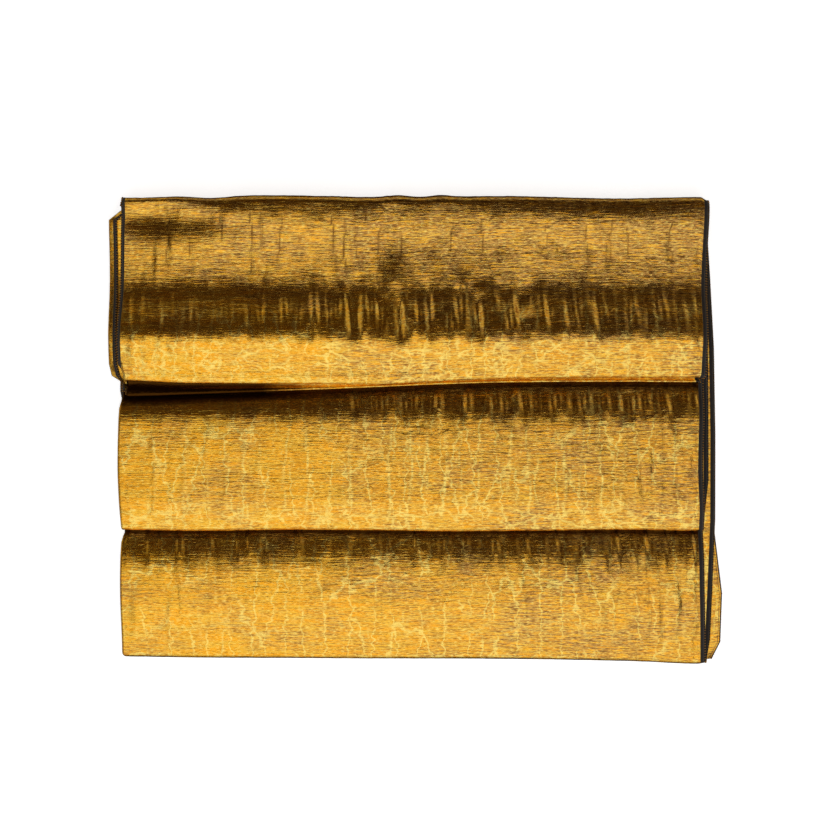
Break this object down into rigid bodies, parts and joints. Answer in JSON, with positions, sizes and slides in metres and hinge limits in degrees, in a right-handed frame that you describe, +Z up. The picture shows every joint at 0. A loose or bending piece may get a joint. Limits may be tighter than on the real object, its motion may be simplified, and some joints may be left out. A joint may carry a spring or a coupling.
{
  "type": "folded upholstery fabric",
  "caption": "Length of plain gold metallic upholstery cloth with black selvedges, folded back and forth into overlapping stepped bands and lying flat.",
  "frame": {"origin": "under the middle of the folded cloth, on the surface it lies on", "axes": "+X along the folds to the right selvedge, +Y to the back, +Z up"},
  "size_m": [1.1806, 0.902, 0.0771],
  "materials": {
    "gold_cloth": "woven metallic gold weft on a dark warp, soft crinkled sheen, black selvedges"
  },
  "bodies": {
    "root": {"folded_cloth": "gold_cloth"}
  },
  "joints": []
}
